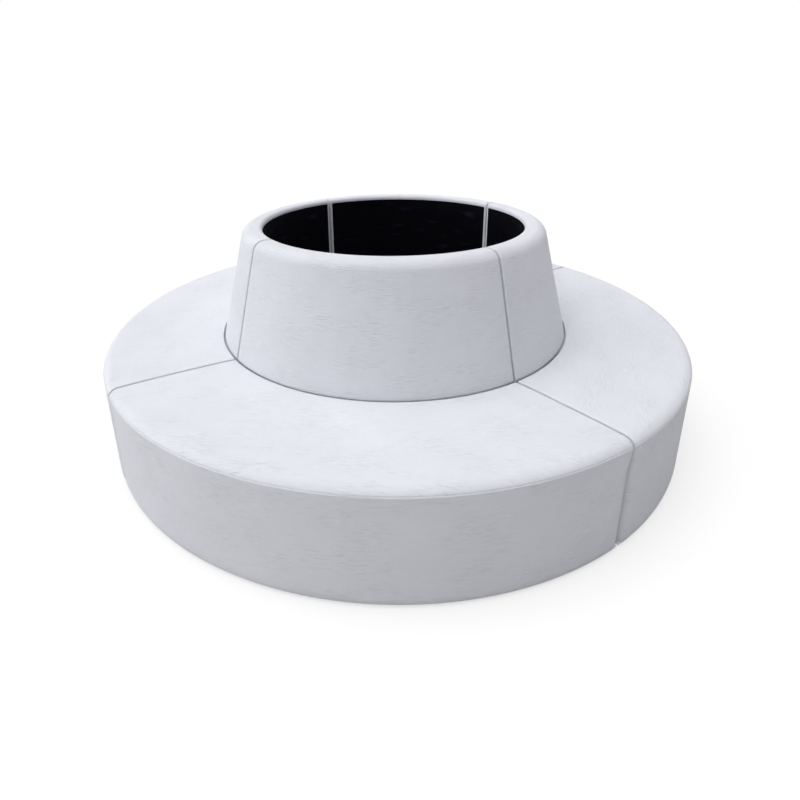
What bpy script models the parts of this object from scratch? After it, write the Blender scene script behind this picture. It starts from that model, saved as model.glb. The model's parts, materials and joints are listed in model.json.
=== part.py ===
"""A round sofa of four quarter modules, each a seat and a sloped back in one, round an open well.

Metres, +Z up. The origin is on the floor at the middle of the well. The front module faces -Y, and the
other three are the same module turned about Z, so every piece is first made in the front module's place.
"""

import math

import bmesh
import bpy
from mathutils import Matrix, Vector

# The whole sofa
MODULE_NAMES = ("front", "right", "rear", "left")
OUTER_RADIUS = 1.35
SEAT_HEIGHT = 0.43
SEAT_DEPTH = 0.52
TOTAL_HEIGHT = 0.933
BACK_RUN = 0.126
RIM_WIDTH = 0.087
JOINT_GAP = 0.004

# Soft edges
SEAT_EDGE_RADIUS = 0.03
SEAT_CROWN = 0.008
RIM_OUTER_RADIUS = 0.05
RIM_INNER_RADIUS = 0.018
JOINT_EDGE_RADIUS = 0.010

# Cloth
FABRIC = 0.0025
LINING = 0.0015
DUST_CLOTH = 0.001
WELL_STRIP = 0.016
WELL_ROLL = 0.022

# Foam
SEAT_FOAM = 0.09
BACK_FOAM = 0.035
RIM_FOAM = 0.03
SIDE_FOAM = 0.02
JOINT_FOAM = 0.012

# Plywood
DECK = 0.012
SIDE_SKIN = 0.006
BACK_SKIN = 0.006
RIB = 0.018
RIB_BORDER = 0.07
RIB_BACK_BORDER = 0.035
RIB_HOLE_RADIUS = 0.025
RIB_BACK_HOLE_WIDTH_SHARE = 0.6
RIB_BACK_HOLE_TOP_SHARE = 0.65
RIB_RECESS = 0.003
RAIL_WIDTH = 0.06
RAIL_HEIGHT = 0.022
TOP_RAIL_HEIGHT = 0.03

# Glides
GLIDE_HEIGHT = 0.008
GLIDE_RADIUS = 0.022
GLIDE_EDGE = 0.002
GLIDE_INSET = 0.12

# Fits and counts
CLEARANCE = 0.0003
OVERRUN = 0.05
ARC_STEPS = 10
CROWN_STEPS = 3
EDGE_STEPS = 3
COVER_JOINT_STEPS = 2
FOAM_JOINT_STEPS = 1
HOLE_STEPS = 1
MID_RIBS = 3
GLIDE_SIDES = 12

SMOOTH_ANGLE = math.radians(40)
FLAT_ANGLE = math.radians(11)
ROUND_PROFILE_SHARE = 0.5
CUT_MERGE = 1e-6

# Worked out from the sizes above
BACK_FOOT_RADIUS = OUTER_RADIUS - SEAT_DEPTH
BACK_TOP_RADIUS = BACK_FOOT_RADIUS - BACK_RUN
WELL_RADIUS = BACK_TOP_RADIUS - RIM_WIDTH
FLAT_COSINE = math.cos(FLAT_ANGLE)
MODULE_TURN = math.tau / len(MODULE_NAMES)
HALF_TURN = MODULE_TURN / 2
QUARTER = math.pi / 2
SIDES = (-1, 1)
UP = Vector((0, 0, 1))
LAYER = FABRIC + CLEARANCE
HALF_GAP = JOINT_GAP / 2
BASE_HEIGHT = GLIDE_HEIGHT + CLEARANCE + DUST_CLOTH + CLEARANCE
WALL_RADIUS = WELL_RADIUS + LAYER
BACK_LEAN = math.atan2(BACK_RUN, TOTAL_HEIGHT - SEAT_HEIGHT)
DECK_TOP = SEAT_HEIGHT - LAYER - SEAT_FOAM - CLEARANCE
DECK_BOTTOM = DECK_TOP - DECK
SKIN_DEPTH = LAYER + BACK_FOAM + CLEARANCE
RIB_BACK_DEPTH = SKIN_DEPTH + BACK_SKIN + CLEARANCE
RIM_BOARD_HEIGHT = TOTAL_HEIGHT - LAYER - RIM_FOAM - CLEARANCE
SIDE_SKIN_RADIUS = OUTER_RADIUS - LAYER - SIDE_FOAM - CLEARANCE
FRAME_RADIUS = SIDE_SKIN_RADIUS - SIDE_SKIN - CLEARANCE
FOAM_END = HALF_GAP + LAYER
FRAME_END = FOAM_END + JOINT_FOAM + CLEARANCE
FACET_SHARE = math.cos(HALF_TURN / ARC_STEPS)


def back_face(height, depth):
    """The radius of a surface that lies this deep behind the outer face of the back."""
    across = (height - SEAT_HEIGHT) * math.tan(BACK_LEAN)
    return BACK_FOOT_RADIUS - across - depth / math.cos(BACK_LEAN)


PAD_DEPTH = SKIN_DEPTH - CLEARANCE
TUCK_RADIUS = back_face(SEAT_HEIGHT - LAYER, PAD_DEPTH)


def joint_normal(side):
    """The direction that one joint face of the front module looks in."""
    angle = side * (HALF_TURN + QUARTER) - QUARTER
    return Vector((math.cos(angle), math.sin(angle), 0))


def placed(radius, angle, height):
    """A point by its radius, its angle from the middle of the front module, and its height."""
    return Vector((radius * math.sin(angle), -radius * math.cos(angle), height))


def rounded(corners, steps):
    """An outline through corners of (across, up, rounding), with each rounding an arc of a few steps."""
    outline = []
    for index, (across, up, rounding) in enumerate(corners):
        corner = Vector((across, up))
        if not rounding:
            outline.append(corner)
            continue
        before = (Vector(corners[index - 1][:2]) - corner).normalized()
        after = (Vector(corners[(index + 1) % len(corners)][:2]) - corner).normalized()
        half = before.angle(after) / 2
        middle = corner + (before + after).normalized() * rounding / math.sin(half)
        spoke = corner + before * rounding / math.tan(half) - middle
        turn = math.copysign(math.pi - 2 * half, after.cross(before))
        for step in range(steps + 1):
            outline.append(middle + Matrix.Rotation(turn * step / steps, 2) @ spoke)
    return outline


def crowned(start, end, crown):
    """Points between two corners, raised to the right of the way from start to end."""
    start, end = Vector(start), Vector(end)
    along = (end - start).normalized()
    raised = Vector((along.y, -along.x)) * crown
    shares = [step / CROWN_STEPS for step in range(1, CROWN_STEPS)]
    return [(*(start.lerp(end, share) + raised * math.sin(math.pi * share)), 0) for share in shares]


def trim(mesh, inset):
    """Cuts a swept body off flat at both joints, this far inside the joint planes, and closes the cuts."""
    for side in SIDES:
        normal = joint_normal(side)
        geometry = mesh.verts[:] + mesh.edges[:] + mesh.faces[:]
        cut = bmesh.ops.bisect_plane(
            mesh,
            geom=geometry,
            dist=CUT_MERGE,
            plane_co=-inset * normal,
            plane_no=normal,
            clear_outer=True,
        )
        edges = [item for item in cut["geom_cut"] if isinstance(item, bmesh.types.BMEdge)]
        bmesh.ops.holes_fill(mesh, edges=edges, sides=0)
    bmesh.ops.recalc_face_normals(mesh, faces=mesh.faces)


def sector(outline, inset):
    """A closed outline of (radius, height), swept through the front module and cut off at both joints."""
    mesh = bmesh.new()
    start = mesh.faces.new([mesh.verts.new(placed(point[0], -HALF_TURN, point[1])) for point in outline])
    bmesh.ops.spin(mesh, geom=[start], cent=(0, 0, 0), axis=UP, angle=MODULE_TURN, steps=ARC_STEPS)
    trim(mesh, inset)
    return mesh


def on_joint(face, inset):
    """Whether a face is one of the two flat ones at the joints, this far inside the joint planes."""
    centre = face.calc_center_median()
    for normal in map(joint_normal, SIDES):
        if face.normal.dot(normal) > FLAT_COSINE and abs(centre.dot(normal) + inset) < CLEARANCE:
            return True
    return False


def soften_joint_edges(mesh, inset, steps):
    """Rounds the edges round both joint faces, apart from those at the floor."""
    edges = []
    for edge in mesh.edges:
        looks_down = any(face.normal.z < -FLAT_COSINE for face in edge.link_faces)
        if not looks_down and sum(on_joint(face, inset) for face in edge.link_faces) == 1:
            edges.append(edge)
    bmesh.ops.bevel(
        mesh,
        geom=edges,
        offset=JOINT_EDGE_RADIUS,
        segments=steps,
        profile=ROUND_PROFILE_SHARE,
        affect="EDGES",
    )


def score_at_joints(mesh, inset):
    """Adds a row of edges this far inside each joint plane."""
    for side in SIDES:
        normal = joint_normal(side)
        place = -inset * normal
        geometry = mesh.verts[:] + mesh.edges[:] + mesh.faces[:]
        bmesh.ops.bisect_plane(mesh, geom=geometry, dist=CUT_MERGE, plane_co=place, plane_no=normal)


def joint_distance(point):
    """How far inside the nearer joint plane a point lies."""
    return min(-point.dot(joint_normal(side)) for side in SIDES)


def looks_inward(face):
    centre = face.calc_center_median()
    return face.normal.dot(Vector((centre.x, centre.y, 0)).normalized()) < -FLAT_COSINE


def open_up(mesh, is_open):
    """Removes the faces that a cover doesn't have."""
    faces = [face for face in mesh.faces if is_open(face)]
    bmesh.ops.delete(mesh, geom=faces, context="FACES")


def material(name, colour, roughness):
    made = bpy.data.materials.new(name)
    made.use_nodes = True
    shader = made.node_tree.nodes["Principled BSDF"]
    shader.inputs["Base Color"].default_value = (*colour, 1)
    shader.inputs["Roughness"].default_value = roughness
    made.diffuse_color = (*colour, 1)
    return made


def new_object(name, mesh, collection):
    """An object from a bmesh, which is used up."""
    data = bpy.data.meshes.new(name)
    mesh.to_mesh(data)
    mesh.free()
    made = bpy.data.objects.new(name, data)
    collection.objects.link(made)
    return made


def combine(base, others, operation):
    """Joins or cuts base with the others, and leaves it a plain mesh."""
    for other in others:
        modifier = base.modifiers.new(other.name, "BOOLEAN")
        modifier.operation = operation
        modifier.object = other
    bpy.context.view_layer.update()
    graph = bpy.context.evaluated_depsgraph_get()
    whole = bpy.data.meshes.new_from_object(base.evaluated_get(graph))
    base.modifiers.clear()
    base.data = whole
    for other in others:
        bpy.data.objects.remove(other)


def thicken(cover, thickness):
    """Turns a cover's outer face into cloth that lies inside it."""
    modifier = cover.modifiers.new("cloth", "SOLIDIFY")
    modifier.thickness = thickness
    modifier.offset = -1
    modifier.use_even_offset = True


# Outlines, each at a depth behind the outer face of the covers
def seat_outline(depth, inner):
    top = SEAT_HEIGHT - depth
    edge = OUTER_RADIUS - SEAT_EDGE_RADIUS
    corners = [
        (inner, BASE_HEIGHT, 0),
        (OUTER_RADIUS - depth, BASE_HEIGHT, 0),
        (OUTER_RADIUS - depth, top, SEAT_EDGE_RADIUS - depth),
        *crowned((edge, top), (BACK_FOOT_RADIUS, top), SEAT_CROWN),
        (BACK_FOOT_RADIUS, top, 0),
        (inner, top, 0),
    ]
    return rounded(corners, EDGE_STEPS)


def back_outline(depth, bottom):
    top = TOTAL_HEIGHT - depth
    corners = [
        (WELL_RADIUS + depth, bottom, 0),
        (back_face(bottom, depth), bottom, 0),
        (back_face(top, depth), top, RIM_OUTER_RADIUS - depth),
        (WELL_RADIUS + depth, top, RIM_INNER_RADIUS - depth),
        (WELL_RADIUS + depth, TOTAL_HEIGHT - WELL_ROLL + CLEARANCE, 0),
    ]
    return rounded(corners, EDGE_STEPS)


def box_outline(inner, outer, bottom, top):
    return [(inner, bottom), (outer, bottom), (outer, top), (inner, top)]


# The covers
def in_well_between_strips(face):
    return looks_inward(face) and joint_distance(face.calc_center_median()) > HALF_GAP + WELL_STRIP


def seat_cover(collection):
    """The cover of the base. On top it ends tucked in under the back."""
    outline = seat_outline(0, WELL_RADIUS)
    outline.insert(-1, Vector((TUCK_RADIUS, SEAT_HEIGHT)))
    mesh = sector(outline, HALF_GAP)
    soften_joint_edges(mesh, HALF_GAP, COVER_JOINT_STEPS)
    score_at_joints(mesh, HALF_GAP + WELL_STRIP)

    def is_open(face):
        centre = face.calc_center_median()
        under_back = face.normal.z > FLAT_COSINE and centre.xy.length < TUCK_RADIUS
        return face.normal.z < -FLAT_COSINE or under_back or in_well_between_strips(face)

    open_up(mesh, is_open)
    cover = new_object("seat_cover", mesh, collection)
    thicken(cover, FABRIC)
    return cover


def back_cover(collection):
    hem = SEAT_HEIGHT + CLEARANCE + FABRIC * math.sin(BACK_LEAN)
    mesh = sector(back_outline(0, hem), HALF_GAP)
    soften_joint_edges(mesh, HALF_GAP, COVER_JOINT_STEPS)
    score_at_joints(mesh, HALF_GAP + WELL_STRIP)

    def is_open(face):
        below_roll = face.calc_center_median().z < TOTAL_HEIGHT - WELL_ROLL
        return face.normal.z < -FLAT_COSINE or (below_roll and in_well_between_strips(face))

    open_up(mesh, is_open)
    cover = new_object("back_cover", mesh, collection)
    thicken(cover, FABRIC)
    return cover


def lining(collection):
    outer = WALL_RADIUS - CLEARANCE
    outline = box_outline(outer - LINING, outer, BASE_HEIGHT, TOTAL_HEIGHT - WELL_ROLL)
    return new_object("lining", sector(outline, HALF_GAP + WELL_STRIP + CLEARANCE), collection)


def dust_cover(collection):
    bottom = GLIDE_HEIGHT + CLEARANCE
    outline = box_outline(WALL_RADIUS, OUTER_RADIUS - LAYER, bottom, bottom + DUST_CLOTH)
    return new_object("dust_cover", sector(outline, FOAM_END), collection)


# The foam
def seat_foam(collection):
    mesh = sector(seat_outline(LAYER, WALL_RADIUS + RIB_RECESS), FOAM_END)
    soften_joint_edges(mesh, FOAM_END, FOAM_JOINT_STEPS)
    foam = new_object("seat_foam", mesh, collection)
    inner = WELL_RADIUS - OVERRUN
    outer = OUTER_RADIUS - LAYER - SIDE_FOAM
    pad_bottom = DECK_TOP + CLEARANCE
    below = BASE_HEIGHT - OVERRUN
    above = SEAT_HEIGHT + OVERRUN
    hollow = [
        (inner, below),
        (outer, below),
        (outer, pad_bottom),
        (back_face(pad_bottom, PAD_DEPTH), pad_bottom),
        (back_face(above, PAD_DEPTH), above),
        (inner, above),
    ]
    cutter = new_object("seat_hollow", sector(hollow, FOAM_END + JOINT_FOAM), collection)
    combine(foam, [cutter], "DIFFERENCE")
    return foam


def back_foam(collection):
    mesh = sector(back_outline(LAYER, SEAT_HEIGHT + CLEARANCE), FOAM_END)
    soften_joint_edges(mesh, FOAM_END, FOAM_JOINT_STEPS)
    foam = new_object("back_foam", mesh, collection)
    inner = WELL_RADIUS - OVERRUN
    below = SEAT_HEIGHT - OVERRUN
    above = RIM_BOARD_HEIGHT + CLEARANCE
    hollow = [
        (inner, below),
        (back_face(below, PAD_DEPTH), below),
        (back_face(above, PAD_DEPTH), above),
        (inner, above),
    ]
    cutter = new_object("back_hollow", sector(hollow, FOAM_END + JOINT_FOAM), collection)
    combine(foam, [cutter], "DIFFERENCE")
    return foam


# The plywood
def seat_deck(collection):
    inner = back_face(DECK_BOTTOM, PAD_DEPTH)
    outline = box_outline(inner, SIDE_SKIN_RADIUS, DECK_BOTTOM, DECK_TOP)
    return new_object("seat_deck", sector(outline, FRAME_END), collection)


def side_skin(collection):
    top = DECK_BOTTOM - CLEARANCE
    outline = box_outline(SIDE_SKIN_RADIUS - SIDE_SKIN, SIDE_SKIN_RADIUS, BASE_HEIGHT, top)
    return new_object("side_skin", sector(outline, FRAME_END), collection)


def back_skin(collection):
    bottom = DECK_BOTTOM + CLEARANCE
    inner = SKIN_DEPTH + BACK_SKIN
    outline = [
        (back_face(bottom, inner), bottom),
        (back_face(bottom, SKIN_DEPTH), bottom),
        (back_face(RIM_BOARD_HEIGHT, SKIN_DEPTH), RIM_BOARD_HEIGHT),
        (back_face(RIM_BOARD_HEIGHT, inner), RIM_BOARD_HEIGHT),
    ]
    return new_object("back_skin", sector(outline, FRAME_END), collection)


def rib_outlines():
    """The edge of a rib and its two lightening holes. Its outer edges stay inside the rails' flats."""
    inner = WALL_RADIUS + RIB_RECESS
    outer = FRAME_RADIUS * FACET_SHARE - RIB_RECESS
    bottom = BASE_HEIGHT + RIB_RECESS
    shoulder = DECK_BOTTOM - RIB_RECESS
    top = RIM_BOARD_HEIGHT - RIB_RECESS
    depth = RIB_BACK_DEPTH + RIB_RECESS
    edge = [
        (inner, bottom, 0),
        (outer, bottom, 0),
        (outer, shoulder, 0),
        (back_face(shoulder, depth) * FACET_SHARE, shoulder, 0),
        (back_face(top, depth) * FACET_SHARE, top, 0),
        (inner, top, 0),
    ]
    radius = RIB_HOLE_RADIUS
    seat_hole = [
        (inner + RIB_BORDER, bottom + RIB_BORDER, radius),
        (outer - RIB_BORDER, bottom + RIB_BORDER, radius),
        (outer - RIB_BORDER, shoulder - RIB_BORDER, radius),
        (inner + RIB_BORDER, shoulder - RIB_BORDER, radius),
    ]

    def hole_ends(height):
        width = back_face(height, depth) * FACET_SHARE - inner
        border = width * (1 - RIB_BACK_HOLE_WIDTH_SHARE) / 2
        return [(inner + border, height, 0), (inner + width - border, height, 0)]

    low = hole_ends(shoulder + RIB_BACK_BORDER)
    high = hole_ends(shoulder + (top - shoulder) * RIB_BACK_HOLE_TOP_SHARE)
    return edge, seat_hole, [*low, *reversed(high)]


def rib(name, angle, shift, collection):
    """A rib cut from flat board, at an angle from the module's middle and shifted square to itself."""
    curve = bpy.data.curves.new(name, "CURVE")
    curve.dimensions = "2D"
    curve.fill_mode = "BOTH"
    curve.extrude = RIB / 2
    for corners in rib_outlines():
        points = rounded(corners, HOLE_STEPS)
        spline = curve.splines.new("POLY")
        spline.points.add(len(points) - 1)
        spline.use_cyclic_u = True
        for point, place in zip(spline.points, points):
            point.co = (*place, 0, 1)
    board = bpy.data.objects.new(name, curve)
    collection.objects.link(board)
    bpy.context.view_layer.update()
    graph = bpy.context.evaluated_depsgraph_get()
    data = bpy.data.meshes.new_from_object(board.evaluated_get(graph))
    bpy.data.objects.remove(board)
    mesh = bmesh.new()
    mesh.from_mesh(data)
    bpy.data.meshes.remove(data)
    bmesh.ops.remove_doubles(mesh, verts=mesh.verts, dist=CUT_MERGE)
    turn = Matrix.Rotation(angle - QUARTER, 4, "Z")
    stand = Matrix.Rotation(QUARTER, 4, "X")
    mesh.transform(turn @ Matrix.Translation((0, shift, 0)) @ stand)
    bmesh.ops.recalc_face_normals(mesh, faces=mesh.faces)
    return new_object(name, mesh, collection)


def rail(name, outline, collection):
    return new_object(name, sector(outline, FRAME_END + RIB_RECESS), collection)


def frame(collection):
    """Ribs and curved rails, glued into one."""
    base = (BASE_HEIGHT, BASE_HEIGHT + RAIL_HEIGHT)
    under_deck = (DECK_BOTTOM - CLEARANCE - RAIL_HEIGHT, DECK_BOTTOM - CLEARANCE)
    shoulder = back_face(under_deck[1], RIB_BACK_DEPTH)
    board_top = RIM_BOARD_HEIGHT
    board_bottom = board_top - TOP_RAIL_HEIGHT
    top_outline = [
        (WALL_RADIUS, board_bottom),
        (back_face(board_bottom, RIB_BACK_DEPTH), board_bottom),
        (back_face(board_top, RIB_BACK_DEPTH), board_top),
        (WALL_RADIUS, board_top),
    ]
    outlines = {
        "base_rail": box_outline(FRAME_RADIUS - RAIL_WIDTH, FRAME_RADIUS, *base),
        "seat_rail": box_outline(FRAME_RADIUS - RAIL_WIDTH, FRAME_RADIUS, *under_deck),
        "back_rail": box_outline(shoulder - RAIL_WIDTH, shoulder + RAIL_WIDTH, *under_deck),
        "top_rail": top_outline,
    }
    whole = rail("frame", box_outline(WALL_RADIUS, WALL_RADIUS + RAIL_WIDTH, *base), collection)
    joined = [rail(name, outline, collection) for name, outline in outlines.items()]
    for side in SIDES:
        shift = -side * (FRAME_END + RIB / 2)
        joined.append(rib("end_rib", side * HALF_TURN, shift, collection))
    for index in range(MID_RIBS):
        share = (index + 1) / (MID_RIBS + 1)
        joined.append(rib("mid_rib", HALF_TURN * (2 * share - 1), 0, collection))
    combine(whole, joined, "UNION")
    return whole


# The glides
def glide(name, radius, side, collection):
    """A low plastic foot under a base rail, near one joint."""
    angle = side * (HALF_TURN - math.asin(GLIDE_INSET / radius))
    mesh = bmesh.new()
    bmesh.ops.create_cone(
        mesh,
        cap_ends=True,
        segments=GLIDE_SIDES,
        radius1=GLIDE_RADIUS - GLIDE_EDGE,
        radius2=GLIDE_RADIUS,
        depth=GLIDE_HEIGHT,
    )
    mesh.transform(Matrix.Translation(placed(radius, angle, GLIDE_HEIGHT / 2)))
    return new_object(name, mesh, collection)


def glides(collection):
    radii = {"inner": WALL_RADIUS + RAIL_WIDTH / 2, "outer": FRAME_RADIUS - RAIL_WIDTH / 2}
    sides = {"left": -1, "right": 1}
    made = []
    for ring, radius in radii.items():
        for hand, side in sides.items():
            made.append(glide(f"{ring}_{hand}_glide", radius, side, collection))
    return made


def make_materials():
    return {
        "cover_fabric": material("cover_fabric", (0.72, 0.73, 0.77), 0.9),
        "well_lining": material("well_lining", (0.012, 0.012, 0.016), 0.85),
        "foam": material("foam", (0.82, 0.76, 0.55), 0.95),
        "plywood": material("plywood", (0.62, 0.46, 0.28), 0.6),
        "dust_cloth": material("dust_cloth", (0.02, 0.02, 0.022), 0.9),
        "glide_plastic": material("glide_plastic", (0.02, 0.02, 0.02), 0.4),
    }


def make_module(collection):
    """The front module's pieces, each with the name of its material."""
    made = [
        (seat_cover(collection), "cover_fabric"),
        (back_cover(collection), "cover_fabric"),
        (lining(collection), "well_lining"),
        (dust_cover(collection), "dust_cloth"),
        (seat_foam(collection), "foam"),
        (back_foam(collection), "foam"),
        (seat_deck(collection), "plywood"),
        (side_skin(collection), "plywood"),
        (back_skin(collection), "plywood"),
        (frame(collection), "plywood"),
    ]
    return made + [(foot, "glide_plastic") for foot in glides(collection)]


def main():
    for existing in list(bpy.data.objects):
        bpy.data.objects.remove(existing)
    sofa = bpy.data.collections.new("round_sofa")
    bpy.context.scene.collection.children.link(sofa)
    materials = make_materials()
    pieces = make_module(sofa)
    for piece, slot in pieces:
        piece.data.materials.clear()
        piece.data.materials.append(materials[slot])
        piece.data.shade_smooth()
        piece.data.set_sharp_from_angle(angle=SMOOTH_ANGLE)
    names = [piece.name for piece, slot in pieces]
    for index, module in enumerate(MODULE_NAMES):
        centre = bpy.data.objects.new(f"{module}_module", None)
        centre.rotation_euler.z = index * MODULE_TURN
        sofa.objects.link(centre)
        for (piece, slot), name in zip(pieces, names):
            own = piece if index == 0 else piece.copy()
            own.name = f"{module}_{name}"
            own.parent = centre
            if index:
                sofa.objects.link(own)


main()
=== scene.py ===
"""The looks of a round sofa in four quarter modules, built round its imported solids.

Metres and radians, in the solids' own frame: +Z up, the origin on the floor at the middle of the well, and
the front module facing -Y. A piece is first made in the front module's place and then turned about Z into
the others. A section through a module is a list of (radius, height) points.
"""

import json
import math

import bmesh
import bpy
import numpy as np
from mathutils import Matrix, Vector, noise

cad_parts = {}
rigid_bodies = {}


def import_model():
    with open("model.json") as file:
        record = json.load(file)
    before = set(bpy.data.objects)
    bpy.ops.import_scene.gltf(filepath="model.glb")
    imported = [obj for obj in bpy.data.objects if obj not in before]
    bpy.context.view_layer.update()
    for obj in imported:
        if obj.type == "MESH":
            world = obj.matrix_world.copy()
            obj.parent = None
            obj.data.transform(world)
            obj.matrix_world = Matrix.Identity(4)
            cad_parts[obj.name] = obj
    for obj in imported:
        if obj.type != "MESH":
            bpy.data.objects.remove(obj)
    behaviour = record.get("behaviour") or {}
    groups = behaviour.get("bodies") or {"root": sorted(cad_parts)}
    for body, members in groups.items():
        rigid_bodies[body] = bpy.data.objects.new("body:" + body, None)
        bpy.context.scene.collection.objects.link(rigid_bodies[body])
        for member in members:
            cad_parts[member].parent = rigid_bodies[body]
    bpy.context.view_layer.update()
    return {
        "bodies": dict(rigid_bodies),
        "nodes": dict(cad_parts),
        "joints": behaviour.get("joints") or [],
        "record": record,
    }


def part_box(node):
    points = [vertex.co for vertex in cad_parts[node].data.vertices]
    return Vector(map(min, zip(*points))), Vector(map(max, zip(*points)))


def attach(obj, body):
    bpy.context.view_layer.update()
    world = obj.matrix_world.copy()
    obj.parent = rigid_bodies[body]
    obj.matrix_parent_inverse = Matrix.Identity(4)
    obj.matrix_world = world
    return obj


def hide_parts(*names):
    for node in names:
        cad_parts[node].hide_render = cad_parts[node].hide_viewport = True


# The sofa's sizes, beside those that are read from the solids
MODULE_NAMES = ("front", "right", "rear", "left")
SEAT_HEIGHT = 0.43
BACK_FOOT_RADIUS = 0.83
BACK_TOP_RADIUS = 0.704
WELL_RADIUS = 0.617
JOINT_GAP = 0.004
GLIDE_HEIGHT = 0.008

# The seat pad: its top, its rounded edge, its seam, the crevice round the back's foot, and its hem
EDGE_LIFT = 0.001
SEAT_RISE = 0.016
SEAT_CROWN = 0.003
CROWN_POWER = 4
ROLL_RADIUS = 0.042
ROLL_TILT = math.radians(58)
ROLL_STEPS = 12
EDGE_RADIUS = 0.018
EDGE_STEPS = 14
SEAM_STEPS = 4
SEAM_DEPTH = 0.0014
SEAM_HALF_WIDTH = 0.0022
CREVICE_DEPTH = 0.024
CREVICE_GAP = 0.008
CREVICE_ROLL = 0.005
HEM_BEND_RADIUS = 0.08
HEM_LEAN = math.radians(18)
HEM_RADIUS = 0.006

# The back pad: its rim, the undercut at its foot, and its hem
RIM_OUTER_RADIUS = 0.05
RIM_INNER_RADIUS = 0.018
UNDERCUT_RADIUS = 0.009
UNDERCUT_TURN = math.radians(42)
UNDERCUT_LIFT = 0.003
BACK_HEM_RADIUS = 0.005

# The joints between modules: how far a pad's rounded edge and the middle of its face stay back
JOINT_INSET = 0.0032
JOINT_EDGE_RADIUS = 0.005
FACE_GAP = 0.0004
FACE_SHARE = 0.5
FACE_STEPS = 5
CORNER_RADIUS = 0.028
CORNER_REACH = 0.10

# Cloth, foam and what they leave open
LAYER = 0.0028
CLEARANCE = 0.0003
WELL_STRIP = 0.013
WELL_ROLL = 0.022
SEAT_FOAM = 0.09
BACK_FOAM = 0.035
RIM_FOAM = 0.03
SIDE_FOAM = 0.02
JOINT_FOAM = 0.012
OVERRUN = 0.05
PAD_FILL = 0.9

# How closely the pads are meshed
FINE_STEP = 0.010
COARSE_STEP = 0.05
CLOSE_STEP = 0.0025
ARC_STEPS = 10
END_STEPS = 6
COLUMNS = 240
HOLLOW_COLUMNS = 40
SMOOTH_ANGLE = math.radians(50)

# The least length that a way is divided by
SHORTEST_WAY = 1e-11

# Small folds in the covers, as depths and the lengths that they run over
PUCKER_DEPTH = 0.0011
PUCKER_LENGTH = 0.016
PUCKER_REACH = 0.012
FOOT_PUCKER_DEPTH = 0.0010
FOOT_PUCKER_LENGTH = 0.030
FOOT_PUCKER_REACH = 0.030
SWELL_DEPTH = 0.0012
SWELL_LENGTH = 0.16
END_FADE_SHARE = 0.03

# The simulation of the covers
CLOTH_STEP = 0.014
CLOTH_FRAMES = 20
CLOTH_PRESSURE = 4.0
CLOTH_CAP = 0.004
CLOTH_ROUGHNESS = 0.0006

# How noise is read: its gain, and the steps that keep places, sides of a seam and modules unlike
NOISE_GAIN = 2
NOISE_STRIDE = math.e
BELOW_SEAM_SEED = 50
WEAVE_SHIFT = (math.e, math.pi, 0)

# The lining of the well and the cloth under the base
SHEET_STEP = 0.012
LINING_THICKNESS = 0.0012
LINING_TUCK = 0.004
LINING_STAND = 0.0018
LINING_FOLD_DEPTH = 0.0045
LINING_FOLD_MEAN_SHARE = 0.5
LINING_FOLD_WIDTH = 0.07
LINING_FOLD_LENGTH = 0.35
LINING_FOLD_STEEPNESS = 3
BASE_CLOTH_STEP = 0.024
BASE_CLOTH_THICKNESS = 0.0007
BASE_CLOTH_INSET = 0.02
BASE_CLOTH_SAG = 0.003
BASE_FOLD_LENGTH = 0.15

MODULE_TURN = math.tau / len(MODULE_NAMES)
HALF_TURN = MODULE_TURN / 2
QUARTER = math.pi / 2
HALF_GAP = JOINT_GAP / 2
PAD_GAP = HALF_GAP + JOINT_INSET


def smooth_step(value):
    share = np.clip(value, 0, 1)
    return share * share * (3 - 2 * share)


def read_sizes():
    """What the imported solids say, and what follows from it."""
    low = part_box("front_seat_cover")[0]
    sizes = {"outer": -low.y, "base": low.z, "total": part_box("front_back_cover")[1].z}
    sizes["lean"] = math.atan2(BACK_FOOT_RADIUS - BACK_TOP_RADIUS, sizes["total"] - SEAT_HEIGHT)
    sizes["pad_bottom"] = SEAT_HEIGHT - LAYER - SEAT_FOAM
    sizes["rim_board"] = sizes["total"] - LAYER - RIM_FOAM
    sizes["wall"] = WELL_RADIUS + LAYER
    return sizes


def back_face(sizes, height, depth):
    """The radius of a surface that lies this deep behind the outer face of the back."""
    across = (height - SEAT_HEIGHT) * math.tan(sizes["lean"])
    return BACK_FOOT_RADIUS - across - depth / math.cos(sizes["lean"])


# The sections
class Section:
    """A closed outline, walked with its outside on the left. Marks name some of its points."""

    def __init__(self, start):
        self.points = [Vector(start)]
        self.marks = {}

    def line(self, end, step):
        start, end = self.points[-1], Vector(end)
        count = max(1, round((end - start).length / step))
        self.points += [start.lerp(end, index / count) for index in range(1, count + 1)]

    def arc(self, centre, turn, steps=ARC_STEPS):
        centre = Vector(centre)
        spoke = self.points[-1] - centre
        turns = [turn * index / steps for index in range(1, steps + 1)]
        self.points += [centre + Matrix.Rotation(angle, 2) @ spoke for angle in turns]

    def curve(self, height_at, end_radius, step):
        """Runs outward to a radius, at heights that a function gives."""
        start = self.points[-1].x
        count = round(abs(end_radius - start) / step)
        for index in range(1, count + 1):
            radius = start + (end_radius - start) * index / count
            self.points.append(Vector((radius, height_at(radius))))

    def mark(self, name):
        self.marks[name] = len(self.points) - 1

    def finish(self):
        """Works out the way out at each point and how far along the outline it lies."""
        self.places = np.array(self.points)
        before, after = np.roll(self.places, 1, axis=0), np.roll(self.places, -1, axis=0)
        tangent = after - before
        tangent /= np.linalg.norm(tangent, axis=1)[:, None]
        self.ways = np.stack([-tangent[:, 1], tangent[:, 0]], axis=1)
        steps = np.linalg.norm(self.places - before, axis=1)
        steps[0] = 0
        self.along = np.cumsum(steps)
        return self


def way_out(tilt):
    """The way out of a surface that is tilted this far from level, towards the outside of the sofa."""
    return Vector((math.sin(tilt), math.cos(tilt)))


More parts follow.
